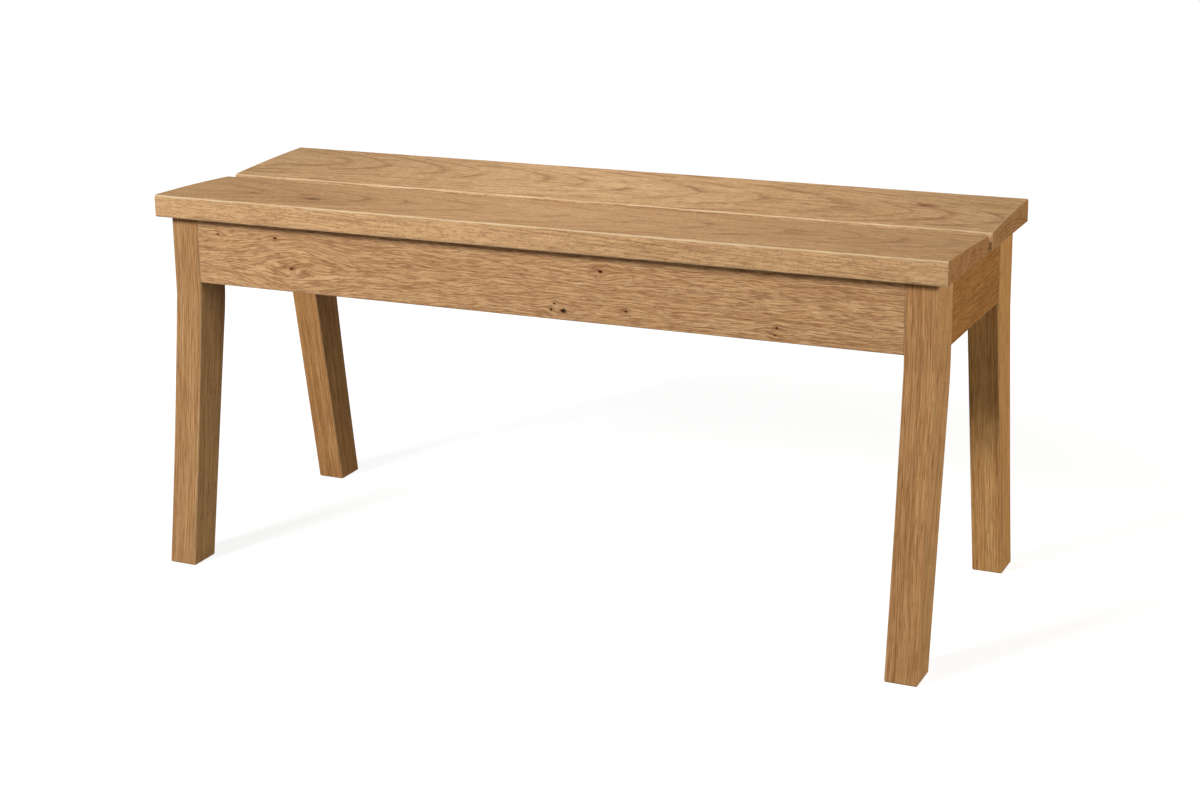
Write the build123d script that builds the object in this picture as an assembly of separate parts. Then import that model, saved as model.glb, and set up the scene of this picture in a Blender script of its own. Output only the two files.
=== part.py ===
from build123d import *
import math
import os

# Oak bench with a two-plank seat and splayed legs. Lengths are in millimetres.
# X runs along the seat, Y from front to back and Z up.
# The origin is on the floor, under the middle of the seat.

# Seat
seat_length = 960.0
seat_depth = 332.0
seat_height = 450.0            # floor to the outer top edges of the planks
plank_thickness = 27.0         # at the outer edges
plank_gap = 15.0               # open slot between the two planks
plank_fall = 7.0               # each top falls this much from its outer edge to the gap
plank_crown = 1.1              # rise of the falling top above a straight line
plank_outer_round = 3.0        # top arris along the outer edges
plank_inner_round = 2.0        # top arris along the gap
plank_lower_round = 1.2        # arrises under the planks
plank_end_round = 0.8          # arrises around the end grain

# Aprons and end rails
rail_height = 80.0
rail_thickness = 22.0
rail_edge_round = 1.5          # lower arrises
end_overhang = 12.5            # seat beyond the legs at each end
side_overhang = 15.0           # seat beyond the legs at front and back
apron_setback = 0.7            # apron face behind the legs' front faces
end_rail_setback = 1.2         # end rail face behind the legs' end faces

# Legs
leg_width = 36.0               # along the bench
leg_depth = 53.0               # front to back, where the rails join
foot_depth = 43.0              # front to back, on the floor
foot_splay = 46.0              # foot's outer edge beyond the leg's upper outer face
outer_bend_drop = 16.0         # outer bend below the rails' lower edge
outer_bend_radius = 30.0
inner_bend_drop = 26.0         # middle of the long inner bend below the rails' lower edge
outer_face_hollow = 2.0        # how far the outer face curves in between bend and foot
leg_edge_round = 2.0

# Mortise and tenon joints
tenon_thickness = 10.0
tenon_top_shoulder = 14.0
tenon_bottom_shoulder = 8.0
mortise_back_wall = 11.0       # wood left behind the apron's tenon
mortise_web = 12.0             # wood left between the two tenons in a leg
tenon_side_clearance = 0.15
tenon_end_clearance = 0.8

# Cross bearers under the planks
bearer_count = 2
bearer_width = 45.0
bearer_thickness = 20.0
bearer_edge_round = 1.0
housing_depth = 8.0            # how far a bearer reaches into each apron
housing_clearance = 0.2

# Corner blocks behind the legs
block_thickness = 25.0         # through the block, square to its diagonal faces
block_height = 28.0
block_leg_clearance = 0.3

# Countersunk wood screws
screw_thread_diameter = 4.0
screw_head_diameter = 8.0
screw_head_height = 2.8
screw_tip_length = 4.0
screw_clearance = 0.1
recess_width = 1.1
recess_length = 4.4
recess_depth = 1.6
plank_bite_share = 0.62        # of the planks' thickness at the gap
rail_bite_share = 0.55         # of the rails' thickness
bearer_screw_shares = (0.30, 0.86)   # of the way from the middle to the apron

# Overrun of every cutting solid
cut_overrun = 5.0

# Levels
seat_underside = seat_height - plank_thickness
rail_underside = seat_underside - rail_height
outer_bend_level = rail_underside - outer_bend_drop
inner_bend_level = rail_underside - inner_bend_drop
gap_thickness = plank_thickness - plank_fall

# Plan of the frame, as distances from the middle of the bench
leg_end_face = seat_length / 2 - end_overhang
leg_side_face = seat_depth / 2 - side_overhang
leg_inner_end = leg_end_face - leg_width
leg_inner_side = leg_side_face - leg_depth
apron_face = leg_side_face - apron_setback
apron_inner = apron_face - rail_thickness
apron_middle = (apron_face + apron_inner) / 2
end_rail_face = leg_end_face - end_rail_setback
end_rail_inner = end_rail_face - rail_thickness
end_rail_middle = (end_rail_face + end_rail_inner) / 2

# Tenons
tenon_height = rail_height - tenon_top_shoulder - tenon_bottom_shoulder
tenon_middle = rail_underside + tenon_bottom_shoulder + tenon_height / 2
apron_tenon_length = leg_width - mortise_back_wall
end_rail_tenon_length = apron_middle - tenon_thickness / 2 - mortise_web - leg_inner_side

# Screws
plank_bite = gap_thickness * plank_bite_share
rail_bite = rail_thickness * rail_bite_share * math.sqrt(2)

ENDS = {"left": -1, "right": 1}
SIDES = {"front": -1, "rear": 1}


def box_between(low, high):
    """Box with its lowest and highest corners at the two points."""
    size = [high[i] - low[i] for i in range(3)]
    middle = [(high[i] + low[i]) / 2 for i in range(3)]
    return Pos(*middle) * Box(*size)


def to_quarter(solid, end, side):
    """Turn a solid of the right rear quarter into that of another quarter."""
    if end < 0:
        solid = mirror(solid, Plane.YZ)
    if side < 0:
        solid = mirror(solid, Plane.XZ)
    return solid


def corners_near(face, points):
    """Corners of a flat outline that lie at the given places."""
    return [min(face.vertices(), key=lambda v: abs(v.X - p[0]) + abs(v.Y - p[1])) for p in points]


def seat_plank():
    """Rear plank: flat underneath, with a top that falls towards the gap."""
    inner = plank_gap / 2
    outer = seat_depth / 2
    lower_inner = (inner, seat_underside)
    lower_outer = (outer, seat_underside)
    upper_outer = (outer, seat_height)
    upper_inner = (inner, seat_height - plank_fall)
    crown = ((inner + outer) / 2, seat_height - plank_fall / 2 + plank_crown)
    outline = Polyline(upper_inner, lower_inner, lower_outer, upper_outer)
    outline += ThreePointArc(upper_outer, crown, upper_inner)
    section = make_face(outline)
    section = fillet(corners_near(section, [lower_inner, lower_outer]), plank_lower_round)
    section = fillet(corners_near(section, [upper_outer]), plank_outer_round)
    section = fillet(corners_near(section, [upper_inner]), plank_inner_round)
    plank = extrude(Plane.YZ.offset(-seat_length / 2) * section, seat_length)
    end_faces = plank.faces().sort_by(Axis.X)
    return fillet(end_faces[0].edges() + end_faces[-1].edges(), plank_end_round)


def leg():
    """Right rear leg, with the mortises for an apron and an end rail."""
    foot_outer = leg_side_face + foot_splay
    foot_inner = foot_outer - foot_depth
    outer_bend = (leg_side_face, outer_bend_level)
    inner_bend = (leg_inner_side, inner_bend_level)
    hollow = ((leg_side_face + foot_outer) / 2 - outer_face_hollow, outer_bend_level / 2)
    outline = ThreePointArc(outer_bend, hollow, (foot_outer, 0))
    outline += Polyline((foot_outer, 0), (foot_inner, 0), inner_bend, (leg_inner_side, seat_underside),
                        (leg_side_face, seat_underside), outer_bend)
    side_view = make_face(outline)
    lean = math.atan((foot_inner - leg_inner_side) / inner_bend_level)
    side_view = fillet(corners_near(side_view, [inner_bend]), inner_bend_drop / math.tan(lean / 2))
    side_view = fillet(corners_near(side_view, [outer_bend]), outer_bend_radius)
    blank = extrude(Plane.YZ.offset(leg_inner_end) * side_view, leg_width)
    across = blank.edges().filter_by(Axis.X)
    along = blank.edges() - across - blank.faces().sort_by(Axis.Z)[-1].edges()
    foot_edges = across.sort_by(Axis.Z)[:2]
    blank = fillet(along + foot_edges, leg_edge_round)
    return blank - apron_tenon(tenon_side_clearance, cut_overrun) - end_rail_tenon(
        tenon_side_clearance, cut_overrun)


def apron_tenon(growth, root):
    """Tenon at the right end of the rear apron, or the mortise for it, grown all round."""
    low = (leg_inner_end - root, apron_middle - tenon_thickness / 2 - growth,
           tenon_middle - tenon_height / 2 - growth)
    reach = apron_tenon_length - (0 if growth else tenon_end_clearance)
    high = (leg_inner_end + reach, apron_middle + tenon_thickness / 2 + growth,
            tenon_middle + tenon_height / 2 + growth)
    return box_between(low, high)


def end_rail_tenon(growth, root):
    """Tenon at the rear end of the right end rail, or the mortise for it, grown all round."""
    low = (end_rail_middle - tenon_thickness / 2 - growth, leg_inner_side - root,
           tenon_middle - tenon_height / 2 - growth)
    reach = end_rail_tenon_length - (0 if growth else tenon_end_clearance)
    high = (end_rail_middle + tenon_thickness / 2 + growth, leg_inner_side + reach,
            tenon_middle + tenon_height / 2 + growth)
    return box_between(low, high)


def bearer_places():
    """Middles of the bearers, which share the length between the end rails evenly."""
    bay = 2 * end_rail_inner / (bearer_count + 1)
    return [bay * (i + 1) - end_rail_inner for i in range(bearer_count)]


def bearer(x, growth):
    """Cross bearer at x, or the space cut for it in the aprons, grown on its sides."""
    reach = apron_inner + housing_depth - (0 if growth else tenon_end_clearance)
    low = (x - bearer_width / 2 - growth, -reach, seat_underside - bearer_thickness - growth)
    high = (x + bearer_width / 2 + growth, reach, seat_underside + (cut_overrun if growth else 0))
    return box_between(low, high)


def eased_bearer(x):
    """Bearer with its two lower arrises eased."""
    blank = bearer(x, 0)
    lower = blank.edges().filter_by(Axis.Y).group_by(Axis.Z)[0]
    return fillet(lower, bearer_edge_round)


def apron():
    """Rear apron, tenoned at both ends and housed for the bearers."""
    board = box_between((-leg_inner_end, apron_inner, rail_underside),
                        (leg_inner_end, apron_face, seat_underside))
    lower = board.edges().filter_by(Axis.X).group_by(Axis.Z)[0]
    board = fillet(lower, rail_edge_round)
    tenon = apron_tenon(0, tenon_thickness)
    board += tenon
    board += mirror(tenon, Plane.YZ)
    for x in bearer_places():
        board -= bearer(x, housing_clearance)
    return board


def end_rail():
    """Right end rail, tenoned at both ends."""
    board = box_between((end_rail_inner, -leg_inner_side, rail_underside),
                        (end_rail_face, leg_inner_side, seat_underside))
    lower = board.edges().filter_by(Axis.Y).group_by(Axis.Z)[0]
    board = fillet(lower, rail_edge_round)
    tenon = end_rail_tenon(0, tenon_thickness)
    board += tenon
    board += mirror(tenon, Plane.XZ)
    return board


def block_corners():
    """Plan of the right rear block: two on the leg's side, then two on the open side."""
    leg_line = leg_inner_end + leg_inner_side - block_leg_clearance * math.sqrt(2)
    open_line = leg_line - block_thickness * math.sqrt(2)
    return [(leg_line - apron_inner, apron_inner), (end_rail_inner, leg_line - end_rail_inner),
            (end_rail_inner, open_line - end_rail_inner), (open_line - apron_inner, apron_inner)]


def corner_block():
    """Right rear block, which touches the apron, the end rail and the plank."""
    plan = make_face(Polyline(*block_corners(), close=True))
    return extrude(Pos(0, 0, seat_underside - block_height) * plan, block_height)


def screw(length, growth):
    """Countersunk screw along Z with its head on the XY plane, or the hole for it."""
    head = screw_head_diameter / 2 + growth
    thread = screw_thread_diameter / 2 + growth
    if growth:
        return revolve(make_face(Plane.XZ * Polyline(
            (0, -growth), (head, -growth), (head, 0), (thread, screw_head_height), (thread, length + growth),
            (0, length + growth), close=True)), Axis.Z)
    body = revolve(make_face(Plane.XZ * Polyline(
        (0, 0), (head, 0), (thread, screw_head_height), (thread, length - screw_tip_length), (0, length),
        close=True)), Axis.Z)
    for turn in (0, 90):
        arm = Box(recess_length, recess_width, 2 * recess_depth)
        body -= Rot(0, 0, turn) * arm
    return body


def bearer_screws():
    """Place and length of each screw that holds the rear plank to the bearers."""
    level = seat_underside - bearer_thickness
    return [(Pos(x, apron_inner * share, level), bearer_thickness + plank_bite)
            for x in bearer_places() for share in bearer_screw_shares]


def block_rail_screws():
    """Place and length of the screws of the right rear block: into apron, then end rail."""
    level = seat_underside - block_height / 2
    leg_apron, leg_rail, open_rail, open_apron = block_corners()
    places = []
    for near, far in ((leg_apron, open_apron), (leg_rail, open_rail)):
        middle = ((near[0] + far[0]) / 2, (near[1] + far[1]) / 2)
        back = (middle[0] + middle[1] - open_apron[0] - open_apron[1]) / 2
        start = Plane(origin=(middle[0] - back, middle[1] - back, level), z_dir=(1, 1, 0))
        places.append((start.location, back * math.sqrt(2) + rail_bite))
    return places


def block_seat_screw():
    """Place and length of the screw that holds the rear plank to the right rear block."""
    corners = block_corners()
    middle = [sum(c[i] for c in corners) / len(corners) for i in range(2)]
    return (Pos(middle[0], middle[1], seat_underside - block_height), block_height + plank_bite)


def drilled(solid, screws):
    """Cut the holes of the given screws out of a solid."""
    for place, length in screws:
        solid -= place * screw(length, screw_clearance)
    return solid


def both_ends(screws):
    """The given holes of the right half, as solids, and their mirror images."""
    holes = [place * screw(length, screw_clearance) for place, length in screws]
    return holes + [mirror(hole, Plane.YZ) for hole in holes]


def build():
    """All pieces of the bench by name."""
    pieces = {}
    plank = drilled(seat_plank(), bearer_screws())
    for hole in both_ends([block_seat_screw()]):
        plank -= hole
    rear_apron = apron()
    for hole in both_ends(block_rail_screws()[:1]):
        rear_apron -= hole
    for name, side in SIDES.items():
        pieces["seat_plank_" + name] = to_quarter(plank, 1, side)
        pieces["apron_" + name] = to_quarter(rear_apron, 1, side)

    rail = end_rail()
    rail_hole = block_rail_screws()[1]
    rail_hole = rail_hole[0] * screw(rail_hole[1], screw_clearance)
    rail = rail - rail_hole - mirror(rail_hole, Plane.XZ)
    for name, end in ENDS.items():
        pieces["end_rail_" + name] = to_quarter(rail, end, 1)

    rear_leg = leg()
    block = drilled(corner_block(), block_rail_screws() + [block_seat_screw()])
    rail_screws = [place * screw(length, 0) for place, length in block_rail_screws()]
    seat_screw = block_seat_screw()[0] * screw(block_seat_screw()[1], 0)
    all_rail_screws = []
    all_seat_screws = []
    for side_name, side in SIDES.items():
        for end_name, end in ENDS.items():
            quarter = side_name + "_" + end_name
            pieces["leg_" + quarter] = to_quarter(rear_leg, end, side)
            pieces["corner_block_" + quarter] = to_quarter(block, end, side)
            all_rail_screws += [to_quarter(one, end, side) for one in rail_screws]
            all_seat_screws.append(to_quarter(seat_screw, end, side))
    pieces["corner_block_screws"] = Compound(children=all_rail_screws)
    pieces["block_seat_screws"] = Compound(children=all_seat_screws)

    rear_screws = [place * screw(length, 0) for place, length in bearer_screws()]
    front_screws = [mirror(one, Plane.XZ) for one in rear_screws]
    pieces["bearer_screws"] = Compound(children=rear_screws + front_screws)
    holes = [place * screw(length, screw_clearance) for place, length in bearer_screws()]
    for name, x in zip(ENDS, bearer_places()):
        one = eased_bearer(x)
        for hole in holes:
            one = one - hole - mirror(hole, Plane.XZ)
        pieces["cross_bearer_" + name] = one
    return pieces


os.makedirs("parts", exist_ok=True)
for node, solid in build().items():
    export_step(solid, "parts/" + node + ".step")
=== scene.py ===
"""Oak bench on a pale studio floor.

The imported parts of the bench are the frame. The legs, rails, bearers and corner blocks keep their
solids and are dressed in oiled oak, whose figure runs through the solid wood of each board.
The dished seat planks and the threaded screws are grown by geometry nodes in the same places.
"""

import math
from dataclasses import dataclass
from functools import partial

import bmesh
import bpy
from mathutils import Matrix, Vector


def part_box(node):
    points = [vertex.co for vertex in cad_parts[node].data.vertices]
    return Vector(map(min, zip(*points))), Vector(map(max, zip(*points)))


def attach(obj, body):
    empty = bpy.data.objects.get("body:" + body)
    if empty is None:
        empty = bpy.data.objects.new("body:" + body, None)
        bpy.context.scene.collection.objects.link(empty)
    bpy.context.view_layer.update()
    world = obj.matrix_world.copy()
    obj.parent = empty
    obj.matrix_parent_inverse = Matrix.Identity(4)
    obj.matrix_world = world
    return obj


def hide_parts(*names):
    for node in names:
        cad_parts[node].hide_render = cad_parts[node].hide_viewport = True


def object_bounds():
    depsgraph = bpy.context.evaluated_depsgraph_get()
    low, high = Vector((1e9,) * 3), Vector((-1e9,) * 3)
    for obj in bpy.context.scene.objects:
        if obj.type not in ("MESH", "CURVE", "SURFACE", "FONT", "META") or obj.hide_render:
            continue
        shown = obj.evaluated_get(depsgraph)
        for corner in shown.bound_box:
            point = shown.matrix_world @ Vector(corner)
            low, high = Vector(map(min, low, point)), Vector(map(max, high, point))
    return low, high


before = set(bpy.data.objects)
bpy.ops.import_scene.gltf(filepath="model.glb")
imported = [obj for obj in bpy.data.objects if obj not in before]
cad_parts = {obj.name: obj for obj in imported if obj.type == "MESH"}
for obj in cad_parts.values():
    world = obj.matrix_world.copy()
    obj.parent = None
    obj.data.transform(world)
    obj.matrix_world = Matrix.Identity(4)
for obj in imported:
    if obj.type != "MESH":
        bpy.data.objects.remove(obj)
CAD_BOUNDS = [list(corner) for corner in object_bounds()]

bl_info = {
    "name": "Oak Bench",
    "version": (1, 0, 0),
    "blender": (4, 5, 0),
    "location": "3D View > Sidebar > Bench",
    "description": "Dresses the frame of an oak bench, grows its seat planks and screws, and lights it",
    "category": "Object",
}

MM = 0.001
SAME_PLACE = 0.001 * MM
RIGHT = Vector((1, 0, 0))
REAR = Vector((0, 1, 0))
UP = Vector((0, 0, 1))

# The kinds of node used most. A map range takes a value, from min and max, and to min and max.
MATH = "ShaderNodeMath"
VECTOR_MATH = "ShaderNodeVectorMath"
MAP_RANGE = "ShaderNodeMapRange"


def hex_colour(text):
    """sRGB hex text as a linear colour with full alpha."""
    parts = [int(text[i:i + 2], 16) / 255 for i in (1, 3, 5)]
    return [c / 12.92 if c <= 0.04045 else ((c + 0.055) / 1.055) ** 2.4 for c in parts] + [1.0]


def add_node(tree, kind, inputs=(), out=0, **settings):
    """Add a node with its settings, values and links, or link one that stands, and return an output.

    The inputs are a list in the order of the sockets, or a dict by their names or numbers.
    """
    node = tree.nodes.new(kind) if isinstance(kind, str) else kind
    for name, value in settings.items():
        setattr(node, name, value)
    for key, value in inputs.items() if isinstance(inputs, dict) else enumerate(inputs):
        if isinstance(value, bpy.types.NodeSocket):
            tree.links.new(value, node.inputs[key])
        else:
            node.inputs[key].default_value = value
    return node if out is None else node.outputs[out]


def new_group(name, kind, inputs, outputs):
    """Start a node group whose inputs are named with a default, or with a kind if they have none."""
    tree = bpy.data.node_groups.new(name, kind)
    kinds = {float: "Float", int: "Int"}
    for label, value in inputs.items():
        bare = isinstance(value, str)
        socket = value if bare else kinds.get(type(value), "Color")
        made = tree.interface.new_socket(label, in_out="INPUT", socket_type="NodeSocket" + socket)
        if not bare:
            made.default_value = value
    for label, socket in outputs.items():
        tree.interface.new_socket(label, in_out="OUTPUT", socket_type="NodeSocket" + socket)
    add = partial(add_node, tree)
    return tree, add, add("NodeGroupInput", out=None).outputs


def start_nodes(block):
    """Turn on the nodes of a material or world, and return its tree and what adds nodes to it."""
    block.use_nodes = True
    return block.node_tree, partial(add_node, block.node_tree)


# Settings that a user would change

def colour(name, description, text):
    """A colour setting with an sRGB hex default."""
    return bpy.props.FloatVectorProperty(name=name, description=description, subtype="COLOR", size=4,
                                         min=0, max=1, default=hex_colour(text))


def length(name, description, millimetres):
    """A length setting with a default in millimetres."""
    return bpy.props.FloatProperty(name=name, description=description, unit="LENGTH", precision=5,
                                   min=0, default=millimetres * MM)


def share(name, description, default):
    """A setting between 0 and 1."""
    return bpy.props.FloatProperty(name=name, description=description, subtype="FACTOR",
                                   min=0, max=1, default=default)


def power(name, description, default):
    """The power of a lamp."""
    return bpy.props.FloatProperty(name=name, description=description, unit="POWER", min=0,
                                   default=default)


class OakSettings(bpy.types.PropertyGroup):
    """Colours and figure of the oiled oak."""
    light: colour("Pale fibres", "Palest streaks of the latewood", "#D9AC7C")
    middle: colour("Latewood", "Main colour of the wood", "#C1915F")
    dark: colour("Earlywood", "Darker bands where each year's growth begins", "#A4703F")
    pore: colour("Pores", "Open pores that hold oil and dust", "#7A4829")
    knot: colour("Knots", "Heart of the pin knots", "#3D2716")
    arris: colour("Arrises", "Edges that handling has rubbed pale", "#F2DDB9")
    fibre_width: length("Dark streak spacing", "Spacing of the fine dark streaks", 1.9)
    fibre_length: length("Dark streak length", "Length of the fine dark streaks", 40)
    hair_width: length("Pale fibre width", "Width of a pale fibre, coarser than real so that it shows", 0.8)
    hair_length: length("Pale fibre length", "Length of a pale fibre", 11)
    pore_width: length("Pore width", "Width of an open pore, coarser than the real 0.3 mm to show", 0.75)
    pore_length: length("Pore length", "Length of an open pore", 7)
    end_grain: share("End grain", "How far the end grain drinks oil and darkens", 0.75)
    roughness: share("Roughness", "Roughness of the oiled surface between the pores", 0.68)
    pore_depth: length("Pore depth", "Depth of the pores in the surface", 0.22)


class PlankSettings(bpy.types.PropertyGroup):
    """Shape of the seat planks within the box of the solids."""
    gap_fall: length("Fall", "How far each top falls from its outer edge to the gap", 7)
    crown: length("Crown", "Rise of the falling top above a straight line", 1.1)
    outer_round: length("Outer arris", "Radius of the top arris along the outer edge", 3)
    inner_round: length("Inner arris", "Radius of the top arris along the gap", 2)
    lower_round: length("Lower arris", "Radius of the arrises underneath", 1.2)
    end_round: length("End arris", "Radius around the end grain", 0.8)
    hollow: length("Tool marks", "Depth of the soft hollows that sanding leaves", 0.25)
    arris_wander: length("Arris wander", "How far the hand-eased arrises wander", 0.5)
    cell: length("Cell", "Spacing of the mesh along the plank", 4)


class ScrewSettings(bpy.types.PropertyGroup):
    """Shape of the countersunk wood screws."""
    thread_diameter: length("Thread", "Outer diameter of the thread", 4)
    core_diameter: length("Core", "Diameter of the core between the threads", 2.6)
    pitch: length("Pitch", "Rise of the thread in one turn", 1.8)
    head_diameter: length("Head", "Diameter of the countersunk head", 8)
    head_height: length("Head height", "Height of the countersunk head", 2.8)
    recess_length: length("Recess length", "Length of each slot of the cross recess", 4.4)
    recess_width: length("Recess width", "Width of each slot of the cross recess", 1.1)
    recess_depth: length("Recess depth", "Depth of the cross recess", 1.6)
    tip: length("Tip", "Length of the pointed tip", 4)
    zinc: colour("Zinc", "Colour of the zinc plating", "#B9BABB")


class StageSettings(bpy.types.PropertyGroup):
    """Floor, lamps and camera."""
    floor: colour("Floor", "Matt floor that the bench stands on", "#9A9A98")
    key: power("Key lamp", "Large soft lamp in front, to the left", 122)
    side: power("Side lamp", "Soft lamp to the right", 42)
    side_tint: colour("Side warmth", "Colour of the side lamp", "#FFF6DF")
    top: power("Top lamp", "Low soft lamp over the middle of the seat", 2.5)
    top_tint: colour("Top coolness", "Colour of the top lamp", "#EEF6FF")
    back: power("Back lamp", "Soft lamp behind that glances off the seat", 2)
    ambient: share("Ambient", "Strength of the even light from all round", 0.01)
    lens: bpy.props.FloatProperty(name="Focal length", description="Focal length of the camera",
                                  unit="CAMERA", min=1, default=66.54)


# Oiled oak

def knot_group():
    """Node group: grain that flows round one knot, and the knot's own dark wood."""
    _, add, given = new_group("Oak Knot", "ShaderNodeTree", {
        "Place": "Vector", "Shade": 0.0, "Centre": "Vector", "Core": 2 * MM, "Reach": 20 * MM,
        "Bend": 0.6, "Darkness": 1.0,
    }, {"Place": "Vector", "Shade": "Float"})
    # A knot is drawn out along the grain, runs deep into the board and has a ragged edge
    slimness = (0.55, 1.0, 0.15)
    rag_size = 2.2 * MM
    halo_reach = 3.6
    halo_shade = 0.4
    heart_shade = 1.7
    offset = add(VECTOR_MATH, [given["Place"], given["Centre"]], operation="SUBTRACT")
    squeezed = add(VECTOR_MATH, [offset, slimness], operation="MULTIPLY")
    distance = add(VECTOR_MATH, [squeezed], "Value", operation="LENGTH")
    near = add(MAP_RANGE, [distance, 0.0, given["Reach"], 1.0, 0.0], interpolation_type="SMOOTHERSTEP")
    pull = add(MATH, [near, given["Bend"]], operation="MULTIPLY")
    across = add(VECTOR_MATH, [offset, (0, -1, 0)], operation="MULTIPLY")
    shift = add(VECTOR_MATH, {0: across, "Scale": pull}, operation="SCALE")
    bent = add(VECTOR_MATH, [given["Place"], shift], operation="ADD")
    rough = add("ShaderNodeTexNoise", {"Vector": given["Place"], "Scale": 1 / rag_size, "Detail": 1.0})
    ragged = add(MAP_RANGE, [rough, 0.3, 0.7, 0.7, 1.4])
    radius = add(MATH, [distance, ragged], operation="MULTIPLY")
    halo_edge = add(MATH, [given["Core"], halo_reach], operation="MULTIPLY")
    halo = add(MAP_RANGE, [radius, 0.0, halo_edge, halo_shade, 0.0], interpolation_type="SMOOTHSTEP")
    heart = add(MAP_RANGE, [radius, 0.0, given["Core"], heart_shade, 0.0])
    dark = add(MATH, [halo, heart], operation="MAXIMUM")
    dark = add(MATH, [dark, given["Darkness"]], operation="MULTIPLY")
    darkest = add(MATH, [dark, given["Shade"]], operation="MAXIMUM")
    add("NodeGroupOutput", {"Place": bent, "Shade": darkest}, out=None)


def oak_group(look):
    """Node group: oak worked out in the solid, from a place in the board.

    The place is in metres, X along the grain, Y across the face and Z out of the face.
    """
    _, add, given = new_group("Oiled Oak", "ShaderNodeTree", {
        "Place": "Vector", "Facing": "Vector", "Knot": 0.0, "Seed": 0.0, "Light": look.light,
        "Middle": look.middle, "Dark": look.dark, "Pore": look.pore, "Pith": "Vector",
        "Pith Slope": "Vector", "Ring Width": 3 * MM, "Sway": 0.0, "Sway Rate": 7.0, "Ripple": 0.0,
        "Fibres": 0.8, "Streaks": 0.3, "Rings": 0.4, "Flecks": 0.4, "Lines": 0.4, "Rays": 0.0,
        "Wear": 0.3, "Shortness": 1.0,
    }, {"Color": "Color", "Roughness": "Float", "Height": "Float"})

    # The way a surface faces tells faces, edges and end grain, and where an arris is rounded
    facing = add(VECTOR_MATH, [given["Facing"]], operation="ABSOLUTE")
    facing = add("ShaderNodeSeparateXYZ", [facing], out=None).outputs
    square = add(MATH, [facing["Y"], facing["Z"]], operation="MAXIMUM")
    square = add(MATH, [facing["X"], square], operation="MAXIMUM")
    masks = {}
    for name, value, start, end in (("end", facing["X"], 0.55, 0.9), ("edge", facing["Y"], 0.6, 0.9),
                                    ("face", facing["Z"], 0.6, 0.9), ("arris", square, 0.93, 0.8)):
        masks[name] = add(MAP_RANGE, [value, start, end], interpolation_type="SMOOTHSTEP")

    # The grain wanders slowly along the board and ripples over short lengths, within each face,
    # and runs straighter on the edges
    seed = add(VECTOR_MATH, [given["Seed"], (0.731, 0.317, 0.523)], operation="MULTIPLY")
    within = add("ShaderNodeCombineXYZ", {"Y": masks["face"], "Z": masks["edge"]})
    edge_drift = 0.4
    ripple_length = 24 * MM
    drift = add(VECTOR_MATH, [within, (0, 1, edge_drift)], operation="MULTIPLY")
    place = given["Place"]
    for rate, reach, stretch in ((given["Sway Rate"], given["Sway"], (1, 3, 3)),
                                 (1 / ripple_length, given["Ripple"], (1, 1.2, 1.2))):
        spot = add(VECTOR_MATH, [place, seed], operation="ADD")
        spot = add(VECTOR_MATH, [spot, stretch], operation="MULTIPLY")
        wave = add("ShaderNodeTexNoise", {"Vector": spot, "Scale": rate, "Detail": 1.0}, "Color")
        swing = add(VECTOR_MATH, {0: drift, "Scale": reach}, operation="SCALE")
        place = add(VECTOR_MATH, [wave, swing, place], operation="MULTIPLY_ADD")

    # Streaks of several sizes, each given by its length and width, that lie flat in each face
    flatness = 0.95
    depth = add(VECTOR_MATH, [within, (0, -flatness, -flatness), (1, 1, 1)], operation="MULTIPLY_ADD")
    depth = add("ShaderNodeSeparateXYZ", [depth], out=None).outputs
    depth = add("ShaderNodeCombineXYZ", [given["Shortness"], depth["Z"], depth["Y"]])
    grain = add(VECTOR_MATH, [place, depth, seed], operation="MULTIPLY_ADD")
    streaks = {}
    for name, along, across, detail in (("fibre", look.fibre_length, look.fibre_width, 1.0),
                                        ("hair", look.hair_length, look.hair_width, 0.0),
                                        ("pore", look.pore_length, look.pore_width, 1.0),
                                        ("broad", 140 * MM, 7 * MM, 3.0),
                                        ("line", 160 * MM, 12 * MM, 1.0),
                                        ("cloud", 170 * MM, 26 * MM, 1.0),
                                        ("ray", 1.3 * MM, 5 * MM, 0.0)):
        scaled = add(VECTOR_MATH, [grain, (along, across, across)], operation="DIVIDE")
        streaks[name] = add("ShaderNodeTexNoise", {"Vector": scaled, "Scale": 1.0, "Detail": detail,
                                                   "Roughness": 0.6})

    # Growth rings are cones about the pith, whose line tilts against the face
    along = add("ShaderNodeSeparateXYZ", [given["Place"]])
    pith = add(VECTOR_MATH, [given["Pith Slope"], along, given["Pith"]], operation="MULTIPLY_ADD")
    spoke = add(VECTOR_MATH, [place, pith], operation="SUBTRACT")
    spoke = add(VECTOR_MATH, [spoke, (0, 1, 1)], operation="MULTIPLY")
    radius = add(VECTOR_MATH, [spoke], "Value", operation="LENGTH")
    years = add(MATH, [radius, given["Ring Width"]], operation="DIVIDE")
    good_years = 3.0
    seasons = add("ShaderNodeTexNoise", {"W": years, "Scale": 0.3, "Detail": 2.0}, noise_dimensions="1D")
    years = add(MATH, [seasons, good_years, years], operation="MULTIPLY_ADD")
    # Rows of pores feather each ring along the grain
    years = add(MATH, [streaks["hair"], 0.25, years], operation="MULTIPLY_ADD")
    season = add(MATH, [years], operation="FRACT")
    spring = add(MATH, [1.0, season], operation="SUBTRACT")
    # The dark band of a ring is narrow on a face and broad in the end grain
    face_power = 8.0
    end_power = 2.5
    sharp = add(MATH, [masks["end"], end_power - face_power, face_power], operation="MULTIPLY_ADD")
    band = add(MATH, [spring, sharp], operation="POWER")
    clouded = add(MAP_RANGE, [streaks["cloud"], 0.35, 0.6, 0.1, 1.0])
    band = add(MATH, [band, clouded], operation="MULTIPLY")
    slow = add(MAP_RANGE, [seasons, 0.42, 0.62])

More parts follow.
